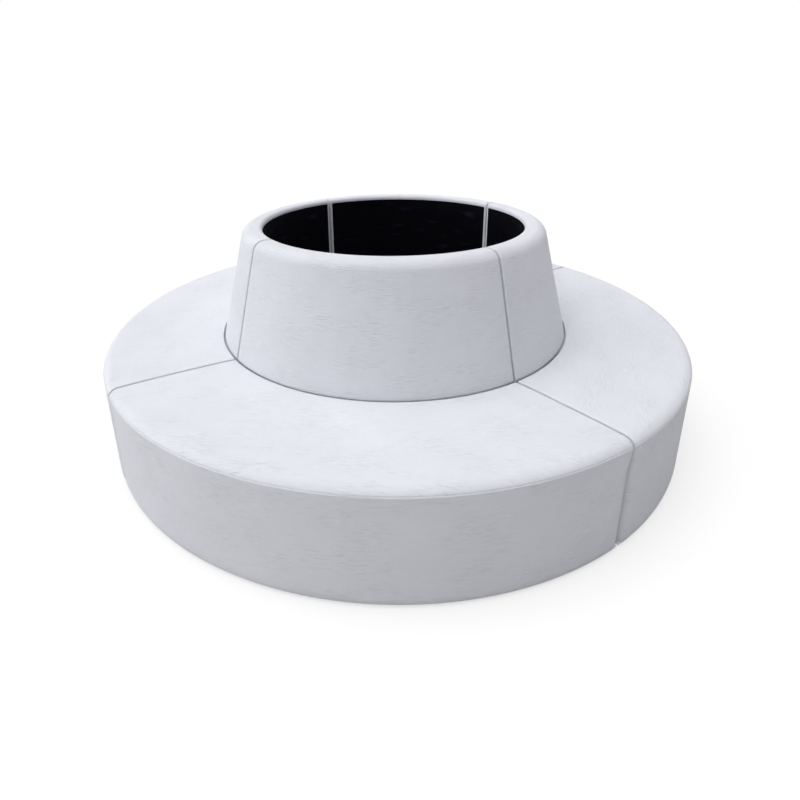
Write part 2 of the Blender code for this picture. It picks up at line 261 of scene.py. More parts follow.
def seat_section(sizes):
    outer, base = sizes["outer"], sizes["base"]
    crevice = SEAT_HEIGHT - CREVICE_DEPTH
    foot = BACK_FOOT_RADIUS + CREVICE_GAP
    inner = foot + CREVICE_ROLL
    low = SEAT_HEIGHT + EDGE_LIFT
    reach = outer - ROLL_RADIUS - inner
    slope = math.atan((2 * CROWN_POWER * SEAT_CROWN - SEAT_RISE) / reach)

    def top(radius):
        share = (radius - inner) / reach
        return low + SEAT_RISE * share + SEAT_CROWN * (1 - abs(2 * share - 1) ** CROWN_POWER)

    section = Section((WELL_RADIUS, base))
    section.line((WELL_RADIUS, crevice), COARSE_STEP)
    section.line((foot, crevice), COARSE_STEP)
    section.mark("crevice")
    section.line((foot, low - CREVICE_ROLL), CLOSE_STEP)
    section.arc((inner, low - CREVICE_ROLL), -QUARTER, END_STEPS)
    section.mark("foot")

    # The top's last point moves to where the roll has to start for the side to end at the outer radius
    section.curve(top, outer - ROLL_RADIUS, FINE_STEP)
    roll_run = ROLL_RADIUS * (math.sin(ROLL_TILT) - math.sin(slope))
    section.points[-1].x = outer - EDGE_RADIUS * (1 - math.sin(ROLL_TILT)) - roll_run
    section.arc(section.points[-1] - way_out(slope) * ROLL_RADIUS, slope - ROLL_TILT, ROLL_STEPS)
    section.arc(section.points[-1] - way_out(ROLL_TILT) * EDGE_RADIUS, ROLL_TILT - QUARTER, EDGE_STEPS)
    section.marks["seam"] = len(section.points) - 1 - EDGE_STEPS + SEAM_STEPS

    bend_end = base + HEM_RADIUS * (1 - math.sin(HEM_LEAN))
    bend_start = bend_end + HEM_BEND_RADIUS * math.sin(HEM_LEAN)
    section.line((outer, bend_start), FINE_STEP)
    section.arc((outer - HEM_BEND_RADIUS, bend_start), -HEM_LEAN, END_STEPS)
    hem_way = Vector((math.cos(HEM_LEAN), -math.sin(HEM_LEAN)))
    section.arc(section.points[-1] - hem_way * HEM_RADIUS, HEM_LEAN - QUARTER, END_STEPS)
    section.mark("hem")
    section.line((WELL_RADIUS + COARSE_STEP, base), COARSE_STEP)
    section.finish()

    seam = section.along[section.marks["seam"]]
    groove = SEAM_DEPTH * np.exp(-(((section.along - seam) / SEAM_HALF_WIDTH) ** 2))
    section.places -= section.ways * groove[:, None]
    return section


def back_section(sizes):
    total, lean = sizes["total"], sizes["lean"]
    hem = SEAT_HEIGHT - CREVICE_DEPTH + CLEARANCE
    half = (QUARTER + lean) / 2
    rim_edge = BACK_TOP_RADIUS - RIM_OUTER_RADIUS / math.tan(half)
    section = Section((WELL_RADIUS, hem))
    section.line((WELL_RADIUS, total - WELL_ROLL - CLOSE_STEP), COARSE_STEP)
    section.line((WELL_RADIUS, total - RIM_INNER_RADIUS), CLOSE_STEP)
    section.mark("well")
    section.arc((WELL_RADIUS + RIM_INNER_RADIUS, total - RIM_INNER_RADIUS), -QUARTER)
    section.line((rim_edge, total), FINE_STEP)
    section.arc((rim_edge, total - RIM_OUTER_RADIUS), lean - QUARTER)
    foot_height = SEAT_HEIGHT + UNDERCUT_LIFT
    foot = Vector((back_face(sizes, foot_height, 0), foot_height))
    section.line(foot, FINE_STEP)
    section.mark("foot")

    slope_way = Vector((math.cos(lean), math.sin(lean)))
    section.arc(foot - slope_way * UNDERCUT_RADIUS, -UNDERCUT_TURN, END_STEPS)
    under = UNDERCUT_TURN - lean
    end = section.points[-1]
    drop = end.y - hem - BACK_HEM_RADIUS * (1 - math.sin(under))
    section.line(end - Vector((math.tan(under), 1)) * drop, CLOSE_STEP)
    hem_way = Vector((-math.cos(under), math.sin(under)))
    section.arc(section.points[-1] + hem_way * BACK_HEM_RADIUS, under - QUARTER, END_STEPS)
    section.points[0].y = section.points[-1].y
    section.line((WELL_RADIUS + COARSE_STEP, section.points[-1].y), COARSE_STEP)
    return section.finish()


# The sweeps
def ring(radius, angle, height):
    """A row of places. Each of the three is a number or has one for each place."""
    parts = np.broadcast_arrays(radius * np.sin(angle), -radius * np.cos(angle), height)
    return np.stack(parts, axis=1)


def sweep(section, rounding, columns):
    """Sweeps a section through the front module, rounded off at both joints: (columns, points, 3).

    At each joint the face swells from the rounded edge until it nearly touches the next module's.
    """
    radii, heights = section.places.T
    edge = section.places - section.ways * rounding[:, None]
    middle = (section.places.min(axis=0) + section.places.max(axis=0)) / 2
    ends = []
    for share in np.linspace(1, 0, FACE_STEPS + 1)[:-1]:
        radius, height = (edge + (middle - edge) * FACE_SHARE * share).T
        inset = PAD_GAP + (FACE_GAP - PAD_GAP) * smooth_step(share)
        ends.append((radius, HALF_TURN - np.arcsin(inset / radius), height))
    for angle in np.linspace(0, QUARTER, END_STEPS + 1)[:-1]:
        depth = rounding * (1 - math.sin(angle))
        inset = PAD_GAP + rounding * (1 - math.cos(angle))
        radius = radii - section.ways[:, 0] * depth
        height = heights - section.ways[:, 1] * depth
        ends.append((radius, HALF_TURN - np.arcsin(inset / radius), height))
    widest = HALF_TURN - np.arcsin((PAD_GAP + rounding) / radii)
    rings = [ring(radius, -angle, height) for radius, angle, height in ends]
    rings += [ring(radii, share * widest, heights) for share in np.linspace(-1, 1, columns + 1)]
    rings += [ring(radius, angle, height) for radius, angle, height in reversed(ends)]
    return np.array(rings)


def column_shares():
    """Where each column of a pad lies between the joints, from -1 to 1."""
    ends = np.ones(FACE_STEPS + END_STEPS)
    return np.concatenate([-ends, np.linspace(-1, 1, COLUMNS + 1), ends])


def quads(columns, rows, closed):
    """The faces of a grid of points, numbered along its columns, with the outside in front."""
    index = np.arange(columns * rows).reshape(columns, rows)
    after = np.roll(index, -1, axis=1)
    if not closed:
        index, after = index[:, :-1], after[:, :-1]
    return np.stack([index[:-1], after[:-1], after[1:], index[1:]], axis=2).reshape(-1, 4).tolist()


def corners(values):
    """The values at the four corners of each face of a closed grid, in the order of quads."""
    after = np.roll(values, -1, axis=1)
    return np.stack([values[:-1], after[:-1], after[1:], values[1:]], axis=2)


def outward(grid):
    """The ways out of a grid of points, each of length 1."""
    ways = np.cross(np.gradient(grid, axis=1), np.gradient(grid, axis=0))
    return ways / np.maximum(np.linalg.norm(ways, axis=2), SHORTEST_WAY)[..., None]


# The meshes
def link(name, data):
    made = bpy.data.objects.new(name, data)
    bpy.context.scene.collection.objects.link(made)
    return made


def set_vectors(mesh, name, domain, values):
    attribute = mesh.attributes.new(name, "FLOAT_VECTOR", domain)
    attribute.data.foreach_set("vector", np.ravel(values).astype(float))


def get_vectors(mesh, name):
    data = mesh.attributes[name].data
    values = np.empty(len(data) * 3)
    data.foreach_get("vector", values)
    return values.reshape(-1, 3)


def swept_object(name, grid, material):
    """A closed object of a sweep."""
    columns, rows = grid.shape[:2]
    first = list(range(rows - 1, -1, -1))
    last = list(range((columns - 1) * rows, columns * rows))
    mesh = bpy.data.meshes.new(name)
    mesh.from_pydata(grid.reshape(-1, 3).tolist(), [], quads(columns, rows, True) + [first, last])
    mesh.materials.append(material)
    return link(name, mesh)


def hollow(outline, inset, material):
    """A cutter with this section between the joints, this far inside the joint planes."""
    radii, heights = np.array(outline[::-1]).T
    angle = HALF_TURN - np.arcsin(inset / radii)
    shares = np.linspace(-1, 1, HOLLOW_COLUMNS + 1)
    grid = np.array([ring(radii, share * angle, heights) for share in shares])
    return swept_object("hollow", grid, material)


def applied(piece):
    """Puts a piece's modifiers into its mesh."""
    bpy.context.view_layer.update()
    graph = bpy.context.evaluated_depsgraph_get()
    whole = bpy.data.meshes.new_from_object(piece.evaluated_get(graph))
    piece.modifiers.clear()
    piece.data = whole


def cut(piece, cutters):
    """Cuts the hollows out of a pad. Their walls keep the cutters' material."""
    for cutter in cutters:
        modifier = piece.modifiers.new("hollow", "BOOLEAN")
        modifier.operation = "DIFFERENCE"
        modifier.material_mode = "TRANSFER"
        modifier.object = cutter
    applied(piece)
    for cutter in cutters:
        bpy.data.objects.remove(cutter)


def smooth(piece):
    piece.data.shade_smooth()
    piece.data.set_sharp_from_angle(angle=SMOOTH_ANGLE)


def declare(piece, module, replaced):
    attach(piece, f"{module}_module")
    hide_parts(*[f"{module}_{node}" for node in replaced])


# The folds of the covers
def ripples(values, seed):
    """Smooth noise of about -1 to 1 along a row of values."""
    return np.array([noise.noise(Vector((value, seed, 0))) for value in values]) * NOISE_GAIN


def swell(grid, seed):
    """Slow, shallow unevenness all over a pad."""
    flat = grid.reshape(-1, 3) / SWELL_LENGTH
    found = [noise.noise(Vector(place) + Vector((0, 0, seed))) for place in flat]
    return np.array(found).reshape(grid.shape[:2]) * SWELL_DEPTH


def puckers(section, row, depth, length, reach, seed):
    """Short gathers that run square to a seam and fade away from it, unlike on its two sides."""
    radius = section.places[row, 0]
    across = column_shares() * HALF_TURN * radius / length
    from_seam = section.along - section.along[row]
    fade = np.exp(-np.abs(from_seam) / reach) * smooth_step(np.abs(from_seam) / (reach / 2))
    above, below = ripples(across, seed), ripples(across, seed + BELOW_SEAM_SEED)
    return depth * np.where(from_seam < 0, above[:, None], below[:, None]) * fade


def settled(grid, held):
    """Where the points of a cloth come to rest under pressure, while some of them are held."""
    columns, rows = grid.shape[:2]
    mesh = bpy.data.meshes.new("cloth")
    mesh.from_pydata(grid.reshape(-1, 3).tolist(), [], quads(columns, rows, False))
    cloth = link("cloth", mesh)
    cloth.vertex_groups.new(name="pins").add(np.flatnonzero(held).tolist(), 1, "REPLACE")
    modifier = cloth.modifiers.new("cloth", "CLOTH")
    modifier.settings.vertex_group_mass = "pins"
    modifier.settings.use_pressure = True
    modifier.settings.uniform_pressure_force = CLOTH_PRESSURE
    modifier.settings.effector_weights.gravity = 0
    modifier.collision_settings.use_collision = False
    modifier.point_cache.frame_start = 1
    modifier.point_cache.frame_end = CLOTH_FRAMES
    scene = bpy.context.scene
    for frame in range(1, CLOTH_FRAMES + 1):
        scene.frame_set(frame)
    at_rest = cloth.evaluated_get(bpy.context.evaluated_depsgraph_get()).data
    places = np.empty(columns * rows * 3)
    at_rest.vertices.foreach_get("co", places)
    scene.frame_set(1)
    bpy.data.objects.remove(cloth)
    return places.reshape(grid.shape)


def simulated(section, first, last, pinned_rows, seed):
    """How far a simulated cover stands proud of its section, at each column and point of the pad."""
    span = section.along[first:last + 1]
    rows = round((span[-1] - span[0]) / CLOTH_STEP) + 1
    stops = np.linspace(span[0], span[-1], rows)
    radius, height = [np.interp(stops, span, line) for line in section.places[first:last + 1].T]
    columns = round(2 * HALF_TURN * radius.max() / CLOTH_STEP) + 1
    shares = np.linspace(-1, 1, columns)
    grid = np.array([ring(radius, share * HALF_TURN, height) for share in shares])
    ways = outward(grid)
    bumps = ripples(np.arange(columns * rows) * NOISE_STRIDE, seed).reshape(columns, rows)
    held = np.zeros((columns, rows), bool)
    held[:, [np.argmin(np.abs(stops - section.along[row])) for row in pinned_rows]] = True
    held[[0, 1, -2, -1]] = True
    moved = settled(grid + ways * (bumps * CLOTH_ROUGHNESS)[..., None], held) - grid
    risen = (moved * ways).sum(axis=2)
    risen = CLOTH_CAP * np.tanh(risen / CLOTH_CAP)
    by_row = np.array([np.interp(section.along, stops, line, left=0, right=0) for line in risen])
    return np.array([np.interp(column_shares(), shares, line) for line in by_row.T]).T


def folds(section, grid, shown_rows, seam, pucker, pinned_rows, seeds):
    """How the points of a pad move, for each seed. Only the rows between the two that are named move."""
    first, last = shown_rows
    ways = outward(grid)
    fade = smooth_step((1 - np.abs(column_shares())) / END_FADE_SHARE)[:, None]
    shown = np.zeros(len(section.along))
    shown[first:last + 1] = 1
    moves = []
    for seed in seeds:
        risen = swell(grid, seed) + puckers(section, seam, *pucker, seed)
        risen = risen * fade + simulated(section, first, last, pinned_rows, seed)
        moves.append(ways * (risen * shown)[..., None])
    return moves


# The pads
def wound(grid, section):
    """Cloth coordinates round the sofa and along the section."""
    angle = np.arctan2(grid[..., 0], -grid[..., 1])
    along = np.broadcast_to(section.along, angle.shape)
    return corners(np.stack([angle * section.places[:, 0], along, np.zeros_like(angle)], axis=2))


def make_pad(name, section, rounding, weave, cutters, materials):
    """A hollowed pad, and the grid that it was swept from. Its points keep their column and row as home."""
    grid = sweep(section, rounding, COLUMNS)
    pad = swept_object(name, grid, materials["fabric"])
    columns, rows = grid.shape[:2]
    radius = np.hypot(grid[..., 0], grid[..., 1])
    on_faces = np.stack([radius, grid[..., 2], np.zeros_like(radius)], axis=2)
    threads, face_threads = weave(grid), corners(on_faces)
    threads[:FACE_STEPS] = face_threads[:FACE_STEPS]
    threads[-FACE_STEPS:] = face_threads[-FACE_STEPS:]
    threads = np.concatenate([threads.reshape(-1, 3), on_faces[0][::-1], on_faces[-1]])
    set_vectors(pad.data, "weave", "CORNER", threads)
    home = np.meshgrid(np.arange(columns), np.arange(rows), [0], indexing="ij")
    set_vectors(pad.data, "home", "POINT", np.stack(home, axis=-1))
    cut(pad, cutters)
    return pad, grid


def hollows(sizes, room, low, high, materials):
    """The room for the boards inside a pad, and its opening into the well."""
    near, far = WELL_RADIUS - OVERRUN, sizes["wall"] + LAYER
    window = [(near, low), (far, low), (far, high), (near, high)]
    return [
        hollow(room, HALF_GAP + LAYER + JOINT_FOAM, materials["foam"]),
        hollow(window, HALF_GAP + WELL_STRIP, materials["fabric"]),
    ]


def seat_pad(sizes, materials):
    section = seat_section(sizes)
    marks = section.marks
    radii, heights = section.places.T
    down = (heights[marks["seam"]] - heights) / CORNER_REACH
    on_side = radii > sizes["outer"] - ROLL_RADIUS
    rounding = JOINT_EDGE_RADIUS + (CORNER_RADIUS - JOINT_EDGE_RADIUS) * smooth_step(down) * on_side
    rounding[marks["hem"] - END_STEPS + 1:] = HEM_RADIUS / 2
    rounding[0] = HEM_RADIUS / 2
    below, bottom, above = sizes["base"] - OVERRUN, sizes["pad_bottom"], SEAT_HEIGHT + OVERRUN
    outer = sizes["outer"] - LAYER - SIDE_FOAM
    room = [
        (sizes["wall"], below),
        (outer, below),
        (outer, bottom),
        (back_face(sizes, bottom, LAYER + BACK_FOAM), bottom),
        (back_face(sizes, above, LAYER + BACK_FOAM), above),
        (sizes["wall"], above),
    ]
    on_top = np.zeros(len(section.along), bool)
    on_top[marks["crevice"]:marks["seam"]] = True

    def weave(grid):
        return np.where(on_top[None, :, None, None], corners(grid * (1, 1, 0)), wound(grid, section))

    cutters = hollows(sizes, room, below, above, materials)
    pad, grid = make_pad("seat_pad", section, rounding, weave, cutters, materials)
    pucker = (PUCKER_DEPTH, PUCKER_LENGTH, PUCKER_REACH)
    shown = (marks["foot"], marks["hem"])
    pinned = (marks["foot"], marks["seam"], marks["hem"])
    return pad, folds(section, grid, shown, marks["seam"], pucker, pinned, range(len(MODULE_NAMES)))


def back_pad(sizes, materials):
    section = back_section(sizes)
    marks = section.marks
    rounding = np.full(len(section.along), JOINT_EDGE_RADIUS)
    rounding[marks["foot"]:] = BACK_HEM_RADIUS / 2
    rounding[0] = BACK_HEM_RADIUS / 2
    below, above = SEAT_HEIGHT - OVERRUN, sizes["rim_board"]
    room = [
        (sizes["wall"], below),
        (back_face(sizes, below, LAYER + BACK_FOAM), below),
        (back_face(sizes, above, LAYER + BACK_FOAM), above),
        (sizes["wall"], above),
    ]

    def weave(grid):
        return wound(grid, section)

    cutters = hollows(sizes, room, below, sizes["total"] - WELL_ROLL, materials)
    pad, grid = make_pad("back_pad", section, rounding, weave, cutters, materials)
    pucker = (FOOT_PUCKER_DEPTH, FOOT_PUCKER_LENGTH, FOOT_PUCKER_REACH)
    shown = (marks["well"], marks["foot"])
    seeds = range(len(MODULE_NAMES), 2 * len(MODULE_NAMES))
    return pad, folds(section, grid, shown, marks["foot"], pucker, shown, seeds)


def place_pads(pad, moves, name, replaced, fill):
    """A pad for each module, each with its own folds and its own stretch of cloth."""
    pieces = [pad] + [link(name, pad.data.copy()) for _ in MODULE_NAMES[1:]]
    for index, (module, piece) in enumerate(zip(MODULE_NAMES, pieces)):
        piece.name = f"{module}_{name}"
        piece.rotation_euler.z = index * MODULE_TURN
        mesh = piece.data
        column, row = get_vectors(mesh, "home")[:, :2].round().astype(int).T
        places = get_vectors(mesh, "position") + moves[index][column, row]
        mesh.attributes["position"].data.foreach_set("vector", places.ravel())
        mesh.attributes.remove(mesh.attributes["home"])
        threads = get_vectors(mesh, "weave") + index * np.array(WEAVE_SHIFT)
        mesh.attributes["weave"].data.foreach_set("vector", threads.ravel())
        smooth(piece)
        declare(piece, module, replaced)


# The sheets
def make_sheet(name, grid, weave, thickness, material):
    """A thin closed sheet from a grid of points. Its front is where the grid's ways point."""
    columns, rows = grid.shape[:2]
    mesh = bpy.data.meshes.new(name)
    mesh.from_pydata(grid.reshape(-1, 3).tolist(), [], quads(columns, rows, False))
    set_vectors(mesh, "weave", "POINT", weave)
    mesh.materials.append(material)
    sheet = link(name, mesh)
    modifier = sheet.modifiers.new("thickness", "SOLIDIFY")
    modifier.thickness = thickness
    modifier.offset = -1
    applied(sheet)
    smooth(sheet)
    return sheet


def lining_folds(angles, heights, radius, seed):
    """How far the folds of a lining stand off the wall of the well, at each of its columns and rows."""
    depth = np.empty((len(angles), len(heights)))
    for column, angle in enumerate(angles):
        for row, height in enumerate(heights):
            slant = (height - heights[0]) / LINING_FOLD_STEEPNESS
            across = (angle * radius + slant) / LINING_FOLD_WIDTH
            fold = noise.noise(Vector((across, height / LINING_FOLD_LENGTH, seed)))
            depth[column, row] = LINING_FOLD_DEPTH * (LINING_FOLD_MEAN_SHARE + fold)
    return depth


def well_cloths(sizes, materials):
    """The lining of the well, stretched from strip to strip, with the faint folds of a loose cloth."""
    radius = sizes["wall"] - CLEARANCE - LINING_THICKNESS - LINING_STAND
    bottom, top = sizes["base"] + LINING_TUCK, sizes["total"] - WELL_ROLL
    half = HALF_TURN - math.asin((HALF_GAP + WELL_STRIP + CLEARANCE) / radius)
    columns = round(2 * half * radius / SHEET_STEP) + 1
    rows = round((top - bottom) / SHEET_STEP) + 1
    angles = np.linspace(-half, half, columns)
    heights = np.linspace(bottom, top, rows)
    edge = np.minimum.outer(half - np.abs(angles), np.full(rows, half)) * radius
    edge = np.minimum(edge, np.minimum(heights - bottom, top - heights))
    for index, module in enumerate(MODULE_NAMES):
        depth = lining_folds(angles, heights, radius, index) * smooth_step(edge / LINING_FOLD_WIDTH)
        grid = np.array([ring(radius - line, angle, heights) for line, angle in zip(depth, angles)])
        along = np.repeat(angles * radius, rows)
        weave = np.stack([along, np.tile(heights, columns), np.zeros_like(along)], axis=1)
        cloth = make_sheet(f"{module}_well_cloth", grid, weave, LINING_THICKNESS, materials["lining"])
        cloth.rotation_euler.z = index * MODULE_TURN
        declare(cloth, module, ["lining"])


def base_cloths(sizes, materials):
    """The dust cloth under a module, stapled to the frame, with a slight sag."""
    inner, outer = sizes["wall"] + CLEARANCE, sizes["outer"] - BASE_CLOTH_INSET
    height = GLIDE_HEIGHT + CLEARANCE
    rows = round((outer - inner) / BASE_CLOTH_STEP) + 1
    columns = round(2 * HALF_TURN * outer / BASE_CLOTH_STEP) + 1
    radii = np.linspace(inner, outer, rows)
    half = HALF_TURN - np.arcsin((HALF_GAP + JOINT_FOAM) / radii)
    for index, module in enumerate(MODULE_NAMES):
        grid = np.array([ring(radii, share * half, height) for share in np.linspace(1, -1, columns)])
        shift = Vector((0, 0, index))
        found = [noise.noise(Vector(place) / BASE_FOLD_LENGTH + shift) for place in grid.reshape(-1, 3)]
        sag = BASE_CLOTH_SAG * np.clip(np.array(found).reshape(columns, rows), 0, 1)
        sag[[0, -1]] = 0
        sag[:, [0, -1]] = 0
        grid[..., 2] -= sag
        weave = grid.reshape(-1, 3)
        cloth = make_sheet(f"{module}_base_cloth", grid, weave, BASE_CLOTH_THICKNESS, materials["dust"])
        cloth.location.z = BASE_CLOTH_THICKNESS
        cloth.rotation_euler.z = index * MODULE_TURN
        declare(cloth, module, ["dust_cover"])


# The materials: colours, the sizes of their patterns, and how strongly each pattern shows
FABRIC_LIGHT = (0.91, 0.925, 0.99)
FABRIC_DARK = (0.64, 0.653, 0.705)
FABRIC_TONE = 0.62
FABRIC_ROUGHNESS = 0.92
FABRIC_BUMP = 0.0012
FABRIC_FINISH = {"Sheen Weight": 0.15, "Sheen Roughness": 0.5, "Specular IOR Level": 0.25}
SLUB_LENGTH = 0.045
SLUB_WIDTH = 0.0048
SLUB_EDGE = 0.57
SLUB_FULL = 0.70
SLUB_CONTRAST = 0.22
CLUSTER_LENGTH = 0.20
CLUSTER_WIDTH = 0.09
CLUSTER_EDGE = 0.35
CLUSTER_FULL = 0.65
CLUSTER_FAINTEST = 0.2
YARN_LENGTH = 0.006
YARN_WIDTH = 0.0009
YARN_CONTRAST = 0.25
YARN_RELIEF = 0.35
THREAD_PITCH = 0.0020
THREAD_CONTRAST = 0.05
THREAD_RELIEF = 0.25
PATCH_LENGTH = 0.30
PATCH_CONTRAST = 0.3
LINING_DARK = (0.0004, 0.0004, 0.0012)
# The lining's pale colour serves both its fibre noise and its painted highlights
LINING_FIBRE_AND_HIGHLIGHT = (0.012, 0.012, 0.030)
LINING_ROUGHNESS = 0.6
LINING_BUMP = 0.0004
LINING_CONTRAST = 0.1
LINING_FINISH = {"Specular IOR Level": 0.04}
# Painted highlights on the lining: paler streaks where its folds would catch the light
HIGHLIGHT_CREASE_WIDTH = 0.035
HIGHLIGHT_CREASE_LENGTH = 0.16
HIGHLIGHT_CREASE_EDGE = 0.58
HIGHLIGHT_CREASE_FULL = 0.80
FOAM_DARK = (0.70, 0.62, 0.40)
FOAM_LIGHT = (0.84, 0.78, 0.58)
FOAM_CELL = 0.003
FOAM_CONTRAST = 2.0
FOAM_ROUGHNESS = 0.98
FOAM_BUMP = 0.001
DUST_DARK = (0.012, 0.012, 0.014)
DUST_LIGHT = (0.03, 0.03, 0.033)
DUST_FIBRE = 0.0015
DUST_CONTRAST = 2.0
DUST_ROUGHNESS = 0.95
DUST_BUMP = 0.0005
WOOD_DARK = (0.42, 0.27, 0.14)
WOOD_LIGHT = (0.70, 0.53, 0.33)
WOOD_TONE = 0.6
WOOD_ROUGHNESS = 0.62
WOOD_BUMP = 0.0004
WOOD_FINISH = {"Specular IOR Level": 0.35}
GRAIN_LENGTH = 0.25
GRAIN_WIDTH = 0.006
GRAIN_CONTRAST = 1.8
FINE_GRAIN_SHRINK = 4
FINE_GRAIN_CONTRAST = 0.8
PLY_THICKNESS = 0.0015
PLY_CONTRAST = 0.3
PLY_DARKENING = 0.15
PLY_EDGE_LIMIT = 0.5
PLASTIC_DARK = (0.012, 0.012, 0.013)
PLASTIC_LIGHT = (0.03, 0.03, 0.032)
PLASTIC_GRAIN = 0.001
PLASTIC_CONTRAST = 1.5
PLASTIC_ROUGHNESS = 0.45
PLASTIC_BUMP = 0.0002
ROUGHNESS_FALL = 0.06
NOISE_MIDDLE = 0.5

# How many finer octaves each noise has
SMOOTH_DETAIL = 1.0
PLAIN_DETAIL = 2.0
# For the noise of the lining's painted highlights:
HIGHLIGHT_CREASE_DETAIL = 3.0
FIBRE_DETAIL = 4.0


def add(tree, kind, inputs=None, **settings):
    """A shader node. An input is a value, or another node's output."""
    made = tree.nodes.new(kind)
    for name, value in settings.items():
        setattr(made, name, value)
    for key, value in (inputs or {}).items():
        if isinstance(value, bpy.types.NodeSocket):
            tree.links.new(value, made.inputs[key])
        else:
            made.inputs[key].default_value = value
    return made


def maths(tree, operation, *values):
    return add(tree, "ShaderNodeMath", dict(enumerate(values)), operation=operation).outputs[0]


def spread(tree, value, gain, middle=NOISE_MIDDLE):
    """Noise stretched about its middle."""
    return maths(tree, "MULTIPLY_ADD", maths(tree, "SUBTRACT", value, NOISE_MIDDLE), gain, middle)


def smooth_range(tree, value, low, high):
    """0 up to low and 1 from high, with a smooth rise between them."""
    inputs = {"Value": value, "From Min": low, "From Max": high}
    return add(tree, "ShaderNodeMapRange", inputs, interpolation_type="SMOOTHSTEP").outputs[0]


def noise_at(tree, vector, lengths, detail=PLAIN_DETAIL):
    """Noise whose cells have these lengths along the vector's axes."""
    scales = tuple(1 / length for length in lengths)
    place = add(tree, "ShaderNodeVectorMath", {0: vector, 1: scales}, operation="MULTIPLY").outputs[0]
    return add(tree, "ShaderNodeTexNoise", {"Vector": place, "Scale": 1.0, "Detail": detail}).outputs[0]


def mixed(tree, factor, dark, light):
    clamped = maths(tree, "MINIMUM", maths(tree, "MAXIMUM", factor, 0.0), 1.0)
    inputs = {0: clamped, 6: (*dark, 1), 7: (*light, 1)}
    return add(tree, "ShaderNodeMix", inputs, data_type="RGBA").outputs[2]


def new_material(name, coordinates):
    made = bpy.data.materials.new(name)
    made.use_nodes = True
    tree = made.node_tree
    if coordinates == "weave":
        place = add(tree, "ShaderNodeAttribute", attribute_name="weave").outputs["Vector"]
    else:
        place = add(tree, "ShaderNodeTexCoord").outputs["Object"]
    return made, tree, tree.nodes["Principled BSDF"], place


def dress(tree, shader, tone, dark, light, roughness, height, depth, finish):
    """Wires a tone and a height into a shader, and sets the constants of its finish."""
    tree.links.new(mixed(tree, tone, dark, light), shader.inputs["Base Color"])
    rough = maths(tree, "MULTIPLY_ADD", tone, -ROUGHNESS_FALL, roughness)
    tree.links.new(rough, shader.inputs["Roughness"])
    bump = add(tree, "ShaderNodeBump", {"Height": height, "Strength": 1.0, "Distance": depth})
    tree.links.new(bump.outputs[0], shader.inputs["Normal"])
    for name, value in finish.items():
        shader.inputs[name].default_value = value


def slub_pattern(tree, place):
    """-1 to 1: pale and dark slubs that lie in loose clusters, and are faint between them."""
    raw = noise_at(tree, place, (SLUB_LENGTH, SLUB_WIDTH, 1), SMOOTH_DETAIL)
    pale = smooth_range(tree, raw, SLUB_EDGE, SLUB_FULL)
    dark = smooth_range(tree, raw, 1 - SLUB_EDGE, 1 - SLUB_FULL)
    clusters = noise_at(tree, place, (CLUSTER_LENGTH, CLUSTER_WIDTH, 1), SMOOTH_DETAIL)
    clusters = smooth_range(tree, clusters, CLUSTER_EDGE, CLUSTER_FULL)
    strength = maths(tree, "MULTIPLY_ADD", clusters, 1 - CLUSTER_FAINTEST, CLUSTER_FAINTEST)
    return maths(tree, "MULTIPLY", maths(tree, "SUBTRACT", pale, dark), strength)


def thread_pattern(tree, place):
    """-1 to 1: the crossing threads of a plain weave."""
    parts = add(tree, "ShaderNodeSeparateXYZ", {0: place}).outputs
    phases = [maths(tree, "MULTIPLY", parts[axis], math.tau / THREAD_PITCH) for axis in (0, 1)]
    return maths(tree, "MULTIPLY", *[maths(tree, "SINE", phase) for phase in phases])


def fabric_material():
    """A pale upholstery weave with slubs along one way of the cloth."""
    made, tree, shader, place = new_material("fabric", "weave")
    slubs = slub_pattern(tree, place)
    threads = thread_pattern(tree, place)
    yarns = noise_at(tree, place, (YARN_LENGTH, YARN_WIDTH, 1), SMOOTH_DETAIL)
    patches = noise_at(tree, place, (PATCH_LENGTH, PATCH_LENGTH, 1))
    tone = maths(tree, "MULTIPLY_ADD", slubs, SLUB_CONTRAST, FABRIC_TONE)
    tone = maths(tree, "ADD", tone, spread(tree, yarns, YARN_CONTRAST, 0.0))
    tone = maths(tree, "ADD", tone, spread(tree, patches, PATCH_CONTRAST, 0.0))
    tone = maths(tree, "MULTIPLY_ADD", threads, THREAD_CONTRAST, tone)
    height = maths(tree, "MULTIPLY_ADD", yarns, YARN_RELIEF, slubs)
    height = maths(tree, "MULTIPLY_ADD", threads, THREAD_RELIEF, height)
    dress(tree, shader, tone, FABRIC_DARK, FABRIC_LIGHT, FABRIC_ROUGHNESS,
          height, FABRIC_BUMP, FABRIC_FINISH)
    return made


def lining_material():
    """A black cloth with faint fibre noise, and paler streaks painted where its folds would catch the
    light: painted highlights.
    """
    made, tree, shader, place = new_material("lining", "weave")
    fine = noise_at(tree, place, (YARN_WIDTH, YARN_LENGTH, 1))
    # Painted highlights: pale streaks standing in for light caught by the lining's folds
    painted_crease_highlights = noise_at(tree, place, (HIGHLIGHT_CREASE_LENGTH, HIGHLIGHT_CREASE_WIDTH, 1), HIGHLIGHT_CREASE_DETAIL)
    painted_crease_highlights = smooth_range(tree, painted_crease_highlights, HIGHLIGHT_CREASE_EDGE, HIGHLIGHT_CREASE_FULL)
    tone = maths(tree, "MULTIPLY_ADD", fine, LINING_CONTRAST, painted_crease_highlights)
    dress(tree, shader, tone, LINING_DARK, LINING_FIBRE_AND_HIGHLIGHT, LINING_ROUGHNESS, fine, LINING_BUMP, LINING_FINISH)
    return made


